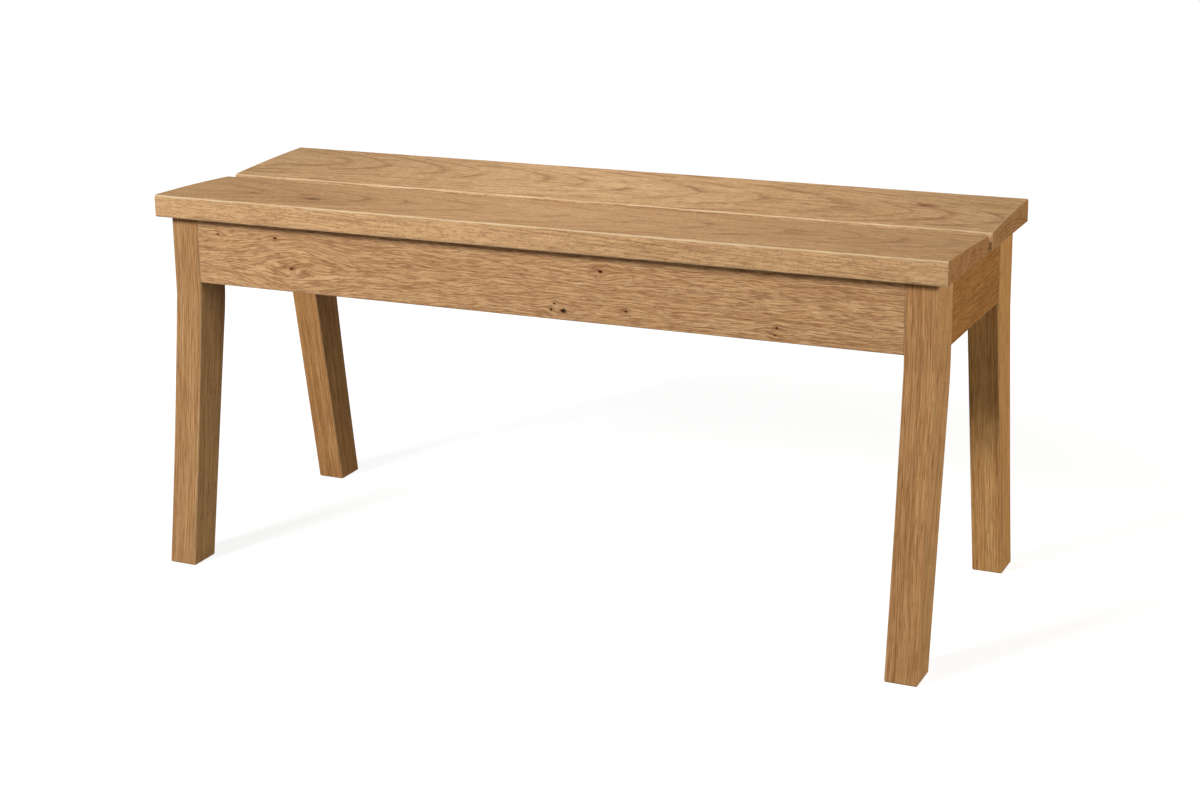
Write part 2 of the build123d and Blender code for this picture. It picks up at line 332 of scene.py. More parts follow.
    # Thin lines run where a noise crosses its middle value
    for name, width in (("line", 0.05), ("fibre", 0.1)):
        offset = add(MATH, [streaks[name], 0.5], operation="SUBTRACT")
        offset = add(MATH, [offset], operation="ABSOLUTE")
        masks[name] = add(MAP_RANGE, [offset, 0.0, width, 1.0, 0.0])
    line = add(MATH, [masks["line"], clouded], operation="MULTIPLY")
    crowd = add(MATH, [band, 0.08, streaks["pore"]], operation="MULTIPLY_ADD")

    for name, value, start, end in (("pale", streaks["hair"], 0.50, 0.64),
                                    ("broad", streaks["broad"], 0.44, 0.64),
                                    ("pore", crowd, 0.56, 0.68),
                                    ("ray", streaks["ray"], 0.0, 0.5)):
        masks[name] = add(MAP_RANGE, [value, start, end], interpolation_type="SMOOTHSTEP")
    ray = add(MATH, [masks["ray"], masks["edge"]], operation="MULTIPLY")
    worn = add(MAP_RANGE, [streaks["broad"], 0.4, 0.6, 0.4, 1.0])
    worn = add(MATH, [masks["arris"], worn], operation="MULTIPLY")
    heart = add(MAP_RANGE, [given["Knot"], 0.5])

    # Each layer covers those before it, and a knot is brown round a dark heart
    wood = add("ShaderNodeMix", {0: 0.15, 6: given["Middle"], 7: given["Light"]}, 2, data_type="RGBA")
    for mask, amount, tint in ((slow, 0.35, given["Light"]),
                               (masks["end"], look.end_grain, given["Dark"]),
                               (masks["end"], 0.12, given["Pore"]),
                               (masks["pale"], 0.7, given["Light"]),
                               (masks["broad"], given["Streaks"], given["Dark"]),
                               (ray, given["Rays"], given["Light"]),
                               (masks["fibre"], given["Fibres"], given["Pore"]),
                               (band, given["Rings"], given["Pore"]),
                               (line, given["Lines"], given["Pore"]),
                               (masks["pore"], given["Flecks"], given["Pore"]),
                               (worn, given["Wear"], look.arris),
                               (given["Knot"], 1.0, given["Pore"]),
                               (heart, 1.0, look.knot)):
        mixing = add(MATH, [mask, amount], operation="MULTIPLY")
        wood = add("ShaderNodeMix", {0: mixing, 6: wood, 7: tint}, 2, data_type="RGBA")
    pore_roughness = look.roughness + 0.2
    rough = add(MAP_RANGE, [masks["pore"], 0.0, 1.0, look.roughness, pore_roughness])
    relief = add(MATH, [masks["pale"], 0.4, 1.0], operation="MULTIPLY_ADD")
    height = add(MATH, [relief, masks["pore"]], operation="SUBTRACT")
    add("NodeGroupOutput", {"Color": wood, "Roughness": rough, "Height": height}, out=None)


@dataclass
class Knot:
    """A knot in a board, in millimetres from the middle of its face."""
    along: float
    across: float
    core: float
    reach: float
    bend: float
    darkness: float = 1.0


@dataclass
class Figure:
    """How one board was cut from the tree and where its knots are.

    Lengths are in millimetres. The pith's place is given across the face and out of it. The tint
    multiplies the colours of the oak.
    """
    seed: float
    tint: tuple = (1.0, 1.0, 1.0)
    pith: tuple = (15.0, -85.0)
    slope: tuple = (0.0, 0.03)
    ring: float = 3.2
    sway: float = 4.0
    sway_length: float = 150.0
    ripple: float = 0.8
    stretch: float = 1.0
    fibres: float = 0.45
    streaks: float = 0.3
    rings: float = 0.2
    flecks: float = 0.4
    lines: float = 0.1
    rays: float = 0.5
    wear: float = 0.25
    knots: tuple = ()


def face_middle(node, out):
    """Middle of the outer face of a node's box."""
    low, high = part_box(node)
    half = (high - low) / 2
    return (low + high) / 2 + Vector([half[i] * out[i] for i in range(3)])


def oiled_oak(node, along, out, figure, look):
    """Oiled solid oak: warm and satin, with dark open pores, pale fibres and soft growth rings."""
    material = bpy.data.materials.new("Oiled oak, " + node.replace("_", " "))
    tree, add = start_nodes(material)
    turn = Matrix((along, out.cross(along), out))
    source = add("ShaderNodeTexCoord", out=None).outputs
    place = add("ShaderNodeMapping", {"Vector": source["Object"], "Rotation": turn.to_euler(),
                                      "Location": turn @ -face_middle(node, out)})
    facing = add("ShaderNodeMapping", {"Vector": source["Normal"], "Rotation": turn.to_euler()},
                 vector_type="VECTOR")
    shade = 0.0
    for knot in figure.knots:
        bend = add("ShaderNodeGroup", out=None, node_tree=bpy.data.node_groups["Oak Knot"])
        add(bend, {"Place": place, "Shade": shade, "Core": knot.core * MM, "Bend": knot.bend,
                   "Centre": (knot.along * MM, knot.across * MM, 0), "Reach": knot.reach * MM,
                   "Darkness": knot.darkness})
        place, shade = bend.outputs["Place"], bend.outputs["Shade"]
    colours = {label: [c * t for c, t in zip(getattr(look, label.lower()), (*figure.tint, 1))]
               for label in ("Light", "Middle", "Dark", "Pore")}
    shares = {label: getattr(figure, label.lower())
              for label in ("Fibres", "Streaks", "Rings", "Flecks", "Lines", "Rays", "Wear")}
    oak = add("ShaderNodeGroup", out=None, node_tree=bpy.data.node_groups["Oiled Oak"])
    add(oak, {"Place": place, "Facing": facing, "Knot": shade, "Seed": figure.seed, **colours, **shares,
              "Pith": (0, figure.pith[0] * MM, figure.pith[1] * MM), "Pith Slope": (0, *figure.slope),
              "Ring Width": figure.ring * MM, "Sway": 2 * figure.sway * MM,
              "Sway Rate": 1 / (figure.sway_length * MM), "Ripple": 2 * figure.ripple * MM,
              "Shortness": 1 / figure.stretch})
    bump = add("ShaderNodeBump", {"Height": oak.outputs["Height"], "Strength": 0.6,
                                  "Distance": look.pore_depth})
    add(tree.nodes["Principled BSDF"], {"Base Color": oak.outputs["Color"],
                                        "Roughness": oak.outputs["Roughness"], "Normal": bump,
                                        "IOR": 1.47, "Specular IOR Level": 0.05})
    return material


def dress(node, along, out, figure, look):
    """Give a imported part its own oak."""
    oak = oiled_oak(node, along, out, figure, look)
    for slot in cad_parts[node].material_slots:
        slot.material = oak


def oak_look(context):
    """The oak settings, with the shared node groups made once."""
    look = context.scene.bench_oak
    if "Oiled Oak" not in bpy.data.node_groups:
        knot_group()
        oak_group(look)
    return look


# Grown pieces

def grow(name, tree, settings, given, start=None):
    """Run a geometry tree once and keep its plain mesh as a new object.

    The tree's inputs are the given values or else the settings of the same names.
    """
    piece = bpy.data.objects.new(name, start or bpy.data.meshes.new(name))
    bpy.context.scene.collection.objects.link(piece)
    modifier = piece.modifiers.new("Grow", "NODES")
    modifier.node_group = tree
    for socket in tree.interface.items_tree:
        setting = getattr(settings, socket.name.lower().replace(" ", "_"), None)
        value = given.get(socket.name, setting)
        if value is not None:
            modifier[socket.identifier] = value
    evaluated = piece.evaluated_get(bpy.context.evaluated_depsgraph_get())
    mesh = bpy.data.meshes.new_from_object(evaluated)
    piece.modifiers.clear()
    piece.data = mesh
    mesh.name = name
    return piece


def stand_for(piece, node):
    """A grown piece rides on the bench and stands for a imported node."""
    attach(piece, "root")
    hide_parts(node)


def plank_tree():
    """Geometry nodes: the rear plank, its dished section swept along the seat."""
    tree, add, given = new_group("Dished Plank", "GeometryNodeTree", {
        "Length": 1.0, "Inner Side": 0.01, "Outer Side": 0.17, "Underside": 0.42, "Top": 0.45,
        "Gap Fall": 0.007, "Crown": 0.001, "Outer Round": 0.003, "Inner Round": 0.002,
        "Lower Round": 0.001, "End Round": 0.001, "Hollow": 0.0, "Arris Wander": 0.0, "Cell": 0.004,
        "Turn": 0.0, "Seed": 0.0, "Material": "Material",
    }, {"Geometry": "Geometry"})
    index = add("GeometryNodeInputIndex")
    position = add("GeometryNodeInputPosition")
    normal = add("GeometryNodeInputNormal")

    # Section, seen along the plank: outer edge, falling top, inner edge, flat underside
    inner_top = add(MATH, [given["Top"], given["Gap Fall"]], operation="SUBTRACT")
    corners = {}
    for point, side, level in (("Point 1", "Outer Side", given["Underside"]),
                               ("Point 2", "Outer Side", given["Top"]),
                               ("Point 3", "Inner Side", inner_top),
                               ("Point 4", "Inner Side", given["Underside"])):
        corners[point] = add("ShaderNodeCombineXYZ", {"X": given[side], "Y": level})
    outline = add("GeometryNodeCurvePrimitiveQuadrilateral", corners, mode="POINTS")
    rounds = add("GeometryNodeIndexSwitch", out=None, data_type="FLOAT")
    rounds.index_switch_items.new()
    rounds.index_switch_items.new()
    radius = add(rounds, {"Index": index, "0": given["Lower Round"], "1": given["Outer Round"],
                          "2": given["Inner Round"], "3": given["Lower Round"]})
    steps = 6
    wide_cuts = 40
    narrow_cuts = 6
    outline = add("GeometryNodeFilletCurve", {"Curve": outline, "Count": steps, "Radius": radius},
                  mode="POLY")
    # A side starts at the last point of each round, and the wide ones are cut up more finely
    turn = add(MATH, [index, steps + 1.0], operation="MODULO")
    starts = add(MATH, [turn, steps - 0.5], operation="GREATER_THAN")
    corner = add(MATH, [index, steps + 1.0], operation="DIVIDE")
    corner = add(MATH, [corner], operation="FLOOR")
    wide = add(MATH, [corner, 2.0], operation="MODULO")
    cuts = add(MATH, [wide, wide_cuts - narrow_cuts, narrow_cuts], operation="MULTIPLY_ADD")
    cuts = add(MATH, [cuts, starts], operation="MULTIPLY")
    outline = add("GeometryNodeSubdivideCurve", {"Curve": outline, "Cuts": cuts})

    # The top, which lies above this share of the height, is crowned between its arrises
    top_starts = 0.6
    where = add("ShaderNodeSeparateXYZ", [position], out=None).outputs
    width = add(MAP_RANGE, [where["X"], given["Inner Side"], given["Outer Side"], -1.0])
    bow = add(MATH, [width, width], operation="MULTIPLY")
    bow = add(MATH, [1.0, bow], operation="SUBTRACT")
    above = add(MAP_RANGE, [where["Y"], given["Underside"], inner_top])
    above = add(MATH, [above, top_starts], operation="GREATER_THAN")
    rise = add(MATH, [bow, given["Crown"]], operation="MULTIPLY")
    rise = add(MATH, [rise, above], operation="MULTIPLY")
    lift = add("ShaderNodeCombineXYZ", {"Y": rise})
    outline = add("GeometryNodeSetPosition", {"Geometry": outline, "Offset": lift})

    # Rings along the length, close together over the rounded ends
    half = add(MATH, [given["Length"], 0.5], operation="MULTIPLY")
    under = add(MATH, [half, -1.0], operation="MULTIPLY")
    start = add("ShaderNodeCombineXYZ", {"Z": under})
    stop = add("ShaderNodeCombineXYZ", {"Z": half})
    count = add(MATH, [given["Length"], given["Cell"]], operation="DIVIDE")
    count = add(MATH, [count], operation="ROUND")
    path = add("GeometryNodeCurvePrimitiveLine", {"Start": start, "End": stop})
    path = add("GeometryNodeResampleCurve", {"Curve": path, "Count": count})
    last = add(MATH, [count, 1.0], operation="SUBTRACT")
    back = add(MATH, [last, index], operation="SUBTRACT")
    nearest = add(MATH, [index, back], operation="MINIMUM")
    bend = add(MATH, [nearest, math.pi / 2 / steps], operation="MULTIPLY")
    bend = add(MATH, [bend, math.pi / 2], operation="MINIMUM")
    cosine = add(MATH, [bend], operation="COSINE")
    cosine = add(MATH, [1.0, cosine], operation="SUBTRACT")
    rounding = add(MATH, [cosine, given["End Round"]], operation="MULTIPLY")
    straight = add(MATH, [half, given["End Round"]], operation="SUBTRACT")
    middle = add(MATH, [last, 0.5], operation="MULTIPLY")
    run = add(MAP_RANGE, [nearest, float(steps), middle, 0.0, straight])
    inwards = add(MATH, [rounding, run], operation="ADD")
    inwards = add(MATH, [half, inwards], operation="SUBTRACT")
    side = add(MATH, [where["Z"]], operation="SIGN")
    along = add(MATH, [inwards, side], operation="MULTIPLY")
    along = add("ShaderNodeCombineXYZ", {"Z": along})
    path = add("GeometryNodeSetPosition", {"Geometry": path, "Position": along})
    sine = add(MATH, [bend], operation="SINE")
    sine = add(MATH, [1.0, sine], operation="SUBTRACT")
    sunk = add(MATH, [sine, given["End Round"]], operation="MULTIPLY")
    path = add("GeometryNodeStoreNamedAttribute", {"Geometry": path, "Name": "sunk", "Value": sunk},
               data_type="FLOAT", domain="POINT")
    sleeve = add("GeometryNodeCurveToMesh", {"Curve": path, "Profile Curve": outline})
    plank = add("GeometryNodeCurveToMesh", {"Curve": path, "Profile Curve": outline, "Fill Caps": True})
    outwards = add("GeometryNodeSampleIndex", {"Geometry": sleeve, "Value": normal, "Index": index},
                   data_type="FLOAT_VECTOR", domain="POINT")

    # Sanding leaves long soft hollows, and the hand-eased arrises wander
    seeded = add(VECTOR_MATH, [given["Seed"], (0.31, 0.57, 0.73), position], operation="MULTIPLY_ADD")
    mark_length = 110 * MM
    wander_length = 35 * MM
    marks = add(VECTOR_MATH, [seeded, (3, 3, 1)], operation="MULTIPLY")
    marks = add("ShaderNodeTexNoise", {"Vector": marks, "Scale": 1 / mark_length, "Detail": 1.0})
    marks = add(MATH, [marks, given["Hollow"]], operation="MULTIPLY")
    facing = add("ShaderNodeSeparateXYZ", [outwards], out=None).outputs
    arris = add(MATH, [facing["X"], facing["Y"]], operation="MULTIPLY")
    arris = add(MATH, [arris], operation="ABSOLUTE")
    arris = add(MAP_RANGE, [arris, 0.1, 0.5])
    wander = add(VECTOR_MATH, [seeded, (0.2, 0.2, 1)], operation="MULTIPLY")
    wander = add("ShaderNodeTexNoise", {"Vector": wander, "Scale": 1 / wander_length, "Detail": 2.0})
    wander = add(MAP_RANGE, [wander, 0.4, 0.7])
    wander = add(MATH, [wander, given["Arris Wander"]], operation="MULTIPLY")
    depth = add(MATH, [wander, arris, marks], operation="MULTIPLY_ADD")
    sunk = add("GeometryNodeInputNamedAttribute", {"Name": "sunk"}, data_type="FLOAT")
    depth = add(MATH, [depth, sunk], operation="ADD")
    depth = add(MATH, [depth, -1.0], operation="MULTIPLY")
    offset = add(VECTOR_MATH, {0: outwards, "Scale": depth}, operation="SCALE")
    plank = add("GeometryNodeSetPosition", {"Geometry": plank, "Offset": offset})
    plank = add("GeometryNodeRemoveAttribute", {"Geometry": plank, "Name": "sunk"})

    # The sweep stands upright: lay it along the seat, and shade its end grain flat
    end_facing = 0.99
    laid = add("ShaderNodeCombineXYZ", [where["Z"], where["X"], where["Y"]])
    plank = add("GeometryNodeSetPosition", {"Geometry": plank, "Position": laid})
    about = add("ShaderNodeCombineXYZ", {"Z": given["Turn"]})
    plank = add("GeometryNodeTransform", {"Geometry": plank, "Rotation": about})
    end = add("ShaderNodeSeparateXYZ", [normal])
    end = add(MATH, [end], operation="ABSOLUTE")
    smooth = add(MATH, [end, end_facing], operation="LESS_THAN")
    plank = add("GeometryNodeSetShadeSmooth", {"Geometry": plank, "Shade Smooth": smooth}, domain="FACE")
    plank = add("GeometryNodeRealizeInstances", [plank])
    plank = add("GeometryNodeSetMaterial", {"Geometry": plank, "Material": given["Material"]})
    add("NodeGroupOutput", {"Geometry": plank}, out=None)
    return tree


class SeatPlanks(bpy.types.Operator):
    """Grow the two dished seat planks and dress them in flat-sawn oak"""
    bl_idname = "bench.seat_planks"
    bl_label = "Seat Planks"

    FLAT_SAWN = {"ring": 3.5, "ripple": 0.6, "stretch": 0.7, "wear": 0.8}
    FIGURES = {
        "seat_plank_front": Figure(
            3.0, tint=(1.05, 1.11, 1.16), pith=(-8, -250), slope=(0.03, -0.05), rings=0.65, lines=0.3,
            streaks=0.2, fibres=0.35, rays=0.9, **FLAT_SAWN,
            knots=(Knot(-292, -30, 17, 34, 0.5, 0.5), Knot(-378, -23, 8, 20, 0.4, 0.45))),
        "seat_plank_rear": Figure(
            8.0, tint=(1.12, 1.24, 1.35), pith=(12, -250), slope=(-0.04, -0.05), rings=0.85, lines=0.4,
            streaks=0.25, fibres=0.4, knots=(Knot(378, 11, 10, 45, 0.8, 0.4),), **FLAT_SAWN),
    }

    def execute(self, context):
        look = oak_look(context)
        sizes = context.scene.bench_planks
        tree = plank_tree()
        for node, figure in self.FIGURES.items():
            low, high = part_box(node)
            inner, outer = sorted((abs(low.y), abs(high.y)))
            piece = grow(node.replace("seat", "dished"), tree, sizes, {
                "Length": high.x - low.x, "Inner Side": inner, "Outer Side": outer, "Underside": low.z,
                "Top": CAD_BOUNDS[1][2], "Seed": figure.seed, "Turn": math.pi if low.y < 0 else 0.0,
                "Material": oiled_oak(node, RIGHT, UP, figure, look)})
            stand_for(piece, node)
        return {"FINISHED"}


class Legs(bpy.types.Operator):
    """Dress the four legs in straight-grained oak that follows their splay"""
    bl_idname = "bench.legs"
    bl_label = "Legs"

    LEAN = math.radians(9)
    STRAIGHT = {"sway": 1.5, "ripple": 0.2, "stretch": 2.5}
    FIGURES = {
        "leg_front_left": Figure(21.0, tint=(0.91, 0.94, 0.94), pith=(120, -60), rings=0.5, rays=0.9,
                                 **STRAIGHT),
        "leg_front_right": Figure(22.0, tint=(0.95, 0.93, 0.88), pith=(-140, -26), slope=(0.02, 0),
                                  rings=0.6, rays=1.0, **STRAIGHT),
        "leg_rear_left": Figure(23.0, tint=(1.06, 1.01, 0.88), pith=(110, -80), rings=0.6, rays=0.3,
                                **STRAIGHT),
        "leg_rear_right": Figure(24.0, tint=(1.18, 1.17, 1.03), pith=(-150, -30), ring=3.6, rings=1.0,
                                 rays=0.0, **STRAIGHT),
    }

    def execute(self, context):
        look = oak_look(context)
        for node, figure in self.FIGURES.items():
            side = -1 if "front" in node else 1
            along = Vector((0, -side * math.sin(self.LEAN), math.cos(self.LEAN)))
            out = Vector((0, side * math.cos(self.LEAN), math.sin(self.LEAN)))
            dress(node, along, out, figure, look)
        return {"FINISHED"}


class Rails(bpy.types.Operator):
    """Dress the aprons and end rails in knotty oak with wandering grain"""
    bl_idname = "bench.rails"
    bl_label = "Aprons and End Rails"

    APRON_KNOTS = (
        Knot(-403, 22, 1.7, 14, 0.5), Knot(-324, 23, 2.1, 20, 0.5), Knot(-303, -12, 2.2, 62, 0.75),
        Knot(46, -29, 3.8, 26, 0.6), Knot(31, -29, 1.3, 10, 0.4), Knot(35, -26, 1.2, 10, 0.4),
        Knot(91, 19, 2.6, 22, 0.6), Knot(121, -23, 1.8, 16, 0.5), Knot(294, -24, 1.7, 14, 0.5),
        Knot(292, -31, 1.5, 12, 0.5))
    WAVY = {"tint": (1.11, 1.2, 1.33), "pith": (-150, -60), "ring": 4.4, "sway": 5, "sway_length": 90,
            "ripple": 0.9, "rings": 0.5, "fibres": 0.65}
    PLAIN = {"tint": (0.73, 0.63, 0.43), "pith": (-120, -60), "rings": 0.6}
    BOARDS = {
        "apron_front": (RIGHT, -REAR, Figure(5.0, streaks=0.2, knots=APRON_KNOTS, **WAVY)),
        "apron_rear": (-RIGHT, REAR, Figure(6.0, **WAVY)),
        "end_rail_left": (-REAR, -RIGHT, Figure(9.0, **PLAIN)),
        "end_rail_right": (REAR, RIGHT, Figure(10.0, **PLAIN)),
    }

    def execute(self, context):
        look = oak_look(context)
        for node, (along, out, figure) in self.BOARDS.items():
            dress(node, along, out, figure, look)
        return {"FINISHED"}


class InnerFrame(bpy.types.Operator):
    """Dress the cross bearers and corner blocks under the seat in plain oak"""
    bl_idname = "bench.inner_frame"
    bl_label = "Bearers and Corner Blocks"

    NODES = ("cross_bearer_left", "cross_bearer_right", "corner_block_front_left",
             "corner_block_front_right", "corner_block_rear_left", "corner_block_rear_right")
    PLAIN = {"tint": (1.05, 1.05, 1.05), "rings": 0.15, "sway": 2}
    FIRST_SEED = 31

    def execute(self, context):
        look = oak_look(context)
        for seed, node in enumerate(self.NODES, self.FIRST_SEED):
            along = REAR
            if node.startswith("corner_block"):
                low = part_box(node)[0]
                along = Vector((math.copysign(1, low.x), -math.copysign(1, low.y), 0)).normalized()
            dress(node, along, -UP, Figure(seed, **self.PLAIN), look)
        return {"FINISHED"}


def zinc_plate(zinc):
    """Bright zinc-plated steel: pale grey metal with a slightly uneven, soft reflection."""
    material = bpy.data.materials.new("Zinc-plated steel")
    tree, add = start_nodes(material)
    place = add("ShaderNodeTexCoord", out="Object")
    mottle_size = 1.5 * MM
    mottle = add("ShaderNodeTexNoise", {"Vector": place, "Scale": 1 / mottle_size, "Detail": 2.0})
    rough = add(MAP_RANGE, [mottle, 0.3, 0.7, 0.28, 0.46])
    add(tree.nodes["Principled BSDF"], {"Base Color": zinc, "Metallic": 1.0, "Roughness": rough})
    return material


def screw_tree():
    """Geometry nodes: a countersunk screw wrapped from one grid, set on points with a direction."""
    tree, add, given = new_group("Wood Screw", "GeometryNodeTree", {
        "Seats": "Geometry", "Length": 0.03, "Thread Diameter": 0.004, "Core Diameter": 0.0026,
        "Pitch": 0.0018, "Head Diameter": 0.008, "Head Height": 0.0028, "Recess Length": 0.0044,
        "Recess Width": 0.0011, "Recess Depth": 0.0016, "Tip": 0.004, "Sides": 32, "Rows": 150,
        "Material": "Material",
    }, {"Geometry": "Geometry"})
    around = add(MATH, [given["Sides"], 1.0], operation="ADD")
    grid = add("GeometryNodeMeshGrid", {"Size X": 1.0, "Size Y": 1.0, "Vertices X": given["Rows"],
                                        "Vertices Y": around})
    position = add("GeometryNodeInputPosition")
    cell = add("ShaderNodeSeparateXYZ", [position], out=None).outputs

    # Rows run over the face of the head, down its cone and along the shank to the tip
    zones = {}
    for zone, start, end in (("face", -0.5, -0.2), ("cone", -0.2, -0.14), ("shank", -0.14, 0.5)):
        zones[zone] = add(MAP_RANGE, [cell["X"], start, end])
    shank = add(MATH, [given["Length"], given["Head Height"]], operation="SUBTRACT")
    down = add(MATH, [zones["cone"], given["Head Height"]], operation="MULTIPLY")
    down = add(MATH, [zones["shank"], shank, down], operation="MULTIPLY_ADD")
    left = add(MATH, [given["Length"], down], operation="SUBTRACT")
    taper = add(MAP_RANGE, [left, 0.0, given["Tip"]])
    core = add(MATH, [given["Core Diameter"], 0.5], operation="MULTIPLY")
    core = add(MATH, [core, taper], operation="MULTIPLY")
    head = add(MATH, [given["Head Diameter"], 0.5], operation="MULTIPLY")
    head = add(MATH, [head, zones["face"]], operation="MULTIPLY")
    radius = add("ShaderNodeMix", {0: zones["cone"], 2: head, 3: core})

    # The thread is a ridge that climbs one pitch in each turn, from part of the way down the shank
    begin, full = 0.28, 0.36
    sharpness = 3.0
    turns = add(MATH, [down, given["Pitch"]], operation="DIVIDE")
    turns = add(MATH, [turns, cell["Y"]], operation="SUBTRACT")
    ridge = add(MATH, [turns, 0.5], operation="PINGPONG")
    ridge = add(MATH, [ridge, 2.0], operation="MULTIPLY")
    ridge = add(MATH, [ridge, sharpness], operation="POWER")
    begun = add(MAP_RANGE, [zones["shank"], begin, full])
    bite = add(MATH, [given["Thread Diameter"], given["Core Diameter"]], operation="SUBTRACT")
    bite = add(MATH, [bite, 0.5], operation="MULTIPLY")
    bite = add(MATH, [bite, begun], operation="MULTIPLY")
    bite = add(MATH, [bite, taper], operation="MULTIPLY")
    radius = add(MATH, [ridge, bite, radius], operation="MULTIPLY_ADD")
    angle = add(MATH, [cell["Y"], math.tau], operation="MULTIPLY")
    cosine = add(MATH, [angle], operation="COSINE")
    sine = add(MATH, [angle], operation="SINE")
    x = add(MATH, [radius, cosine], operation="MULTIPLY")
    y = add(MATH, [radius, sine], operation="MULTIPLY")

    # Cross recess: two slots in the face of the head, with walls that lean over this width
    wall_top, wall_foot = -0.1 * MM, 0.25 * MM
    slots = []
    for long_way, short_way in ((x, y), (y, x)):
        slot = []
        for across, size in ((long_way, "Recess Length"), (short_way, "Recess Width")):
            off = add(MATH, [across], operation="ABSOLUTE")
            edge = add(MATH, [given[size], 0.5], operation="MULTIPLY")
            inside = add(MATH, [edge, off], operation="SUBTRACT")
            slot.append(add(MAP_RANGE, [inside, wall_top, wall_foot]))
        slots.append(add(MATH, slot, operation="MULTIPLY"))
    recess = add(MATH, slots, operation="MAXIMUM")
    on_face = add(MATH, [zones["cone"], 0.001], operation="LESS_THAN")
    recess = add(MATH, [recess, on_face], operation="MULTIPLY")
    depth = add(MATH, [recess, given["Recess Depth"], down], operation="MULTIPLY_ADD")
    place = add("ShaderNodeCombineXYZ", [x, y, depth])
    screw = add("GeometryNodeSetPosition", {"Geometry": grid, "Position": place})
    screw = add("GeometryNodeMergeByDistance", {"Geometry": screw, "Distance": SAME_PLACE})
    screw = add("GeometryNodeFlipFaces", [screw])
    direction = add("GeometryNodeInputNamedAttribute", {"Name": "direction"}, data_type="FLOAT_VECTOR")
    aim = add("FunctionNodeAlignRotationToVector", {"Vector": direction}, axis="Z")
    screws = add("GeometryNodeInstanceOnPoints", {"Points": given["Seats"], "Instance": screw,
                                                  "Rotation": aim})
    screws = add("GeometryNodeRealizeInstances", [screws])
    screws = add("GeometryNodeSetMaterial", {"Geometry": screws, "Material": given["Material"]})
    add("NodeGroupOutput", {"Geometry": screws}, out=None)
    return tree


def screw_seats(node):
    """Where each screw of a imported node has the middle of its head, and where its tip is."""
    rim_height = 0.01 * MM
    source = bmesh.new()
    source.from_mesh(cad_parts[node].data)
    bmesh.ops.remove_doubles(source, verts=source.verts, dist=SAME_PLACE)
    # A dict keeps the order of its keys, so each run sums the same vertices in the same order
    waiting = dict.fromkeys(source.verts)
    seats = []
    while waiting:
        reached = [waiting.popitem()[0]]
        screw = []
        while reached:
            vert = reached.pop()
            screw.append(vert.co.copy())
            others = [edge.other_vert(vert) for edge in vert.link_edges]
            found = [other for other in others if other in waiting]
            for other in found:
                del waiting[other]
            reached.extend(found)
        tip = max(screw, key=lambda place: sum((place - other).length for other in screw))
        farthest = max((place - tip).length for place in screw)
        rim = [place for place in screw if (place - tip).length > farthest - rim_height]
        seats.append((sum(rim, Vector()) / len(rim), tip))
    source.free()
    return sorted(seats, key=lambda seat: tuple(seat[0]))


class Screws(bpy.types.Operator):
    """Grow the threaded, countersunk screws of the bearers and corner blocks"""
    bl_idname = "bench.screws"
    bl_label = "Screws"

    NODES = ("bearer_screws", "block_seat_screws", "corner_block_screws")

    def execute(self, context):
        sizes = context.scene.bench_screws
        zinc = zinc_plate(sizes.zinc)
        tree = screw_tree()
        for node in self.NODES:
            seats = screw_seats(node)
            points = bpy.data.meshes.new(node)
            points.from_pydata([head for head, tip in seats], [], [])
            directions = points.attributes.new("direction", "FLOAT_VECTOR", "POINT")
            directions.data.foreach_set("vector", [c for head, tip in seats for c in tip - head])
            piece = grow(node.replace("screws", "wood_screws"), tree, sizes, {
                "Length": (seats[0][1] - seats[0][0]).length, "Material": zinc}, points)
            stand_for(piece, node)
        return {"FINISHED"}


# Stage

def soft_lamp(name, at, aim, size, watts, tint=(1, 1, 1)):
    """A large square lamp that faces a place."""
    lamp = bpy.data.lights.new(name, "AREA")
    lamp.size = size
    lamp.energy = watts
    lamp.color = tint
    holder = bpy.data.objects.new(name, lamp)
    holder.location = at
    holder.rotation_euler = (Vector(aim) - Vector(at)).to_track_quat("-Z", "Y").to_euler()
    bpy.context.scene.collection.objects.link(holder)


def seen_rays(add):
    """1 on rays of the camera, of reflections and through glass, and 0 on those that light the bench."""
    paths = add("ShaderNodeLightPath", out=None).outputs
    seen = add(MATH, [paths["Is Camera Ray"], paths["Is Glossy Ray"]], operation="MAXIMUM")
    return add(MATH, [seen, paths["Is Transmission Ray"]], operation="MAXIMUM")


def matt_floor(paint):
    """Matt floor paint, seen lifted towards white, with the bench's soft shadow kept."""
    material = bpy.data.materials.new("Matt floor paint")
    tree, add = start_nodes(material)
    tree.nodes.remove(tree.nodes["Principled BSDF"])
    seen = seen_rays(add)
    place = add("ShaderNodeTexCoord", out="Object")
    # The shadow shows where the lift is less, which is near the bench
    near, far = 0.6, 1.3
    near_lift = 0.88
    speckle_size = 10 * MM
    distance = add(VECTOR_MATH, [place], "Value", operation="LENGTH")
    lift = add(MAP_RANGE, [distance, near, far, near_lift, 1.0], interpolation_type="SMOOTHSTEP")
    speckle = add("ShaderNodeTexNoise", {"Vector": place, "Scale": 1 / speckle_size, "Detail": 2.0})
    shade = add(MAP_RANGE, [speckle, 0.0, 1.0, 0.95, 1.0])
    paint = add("ShaderNodeMix", {0: shade, 6: (0, 0, 0, 1), 7: paint}, 2, data_type="RGBA")
    matt = add("ShaderNodeBsdfDiffuse", {"Color": paint})
    glow = add("ShaderNodeEmission", {"Color": (1, 1, 1, 1), "Strength": lift})
    lifted = add("ShaderNodeAddShader", [matt, glow])
    surface = add("ShaderNodeMixShader", [seen, matt, lifted])
    add(tree.nodes["Material Output"], {"Surface": surface}, out=None)
    return material


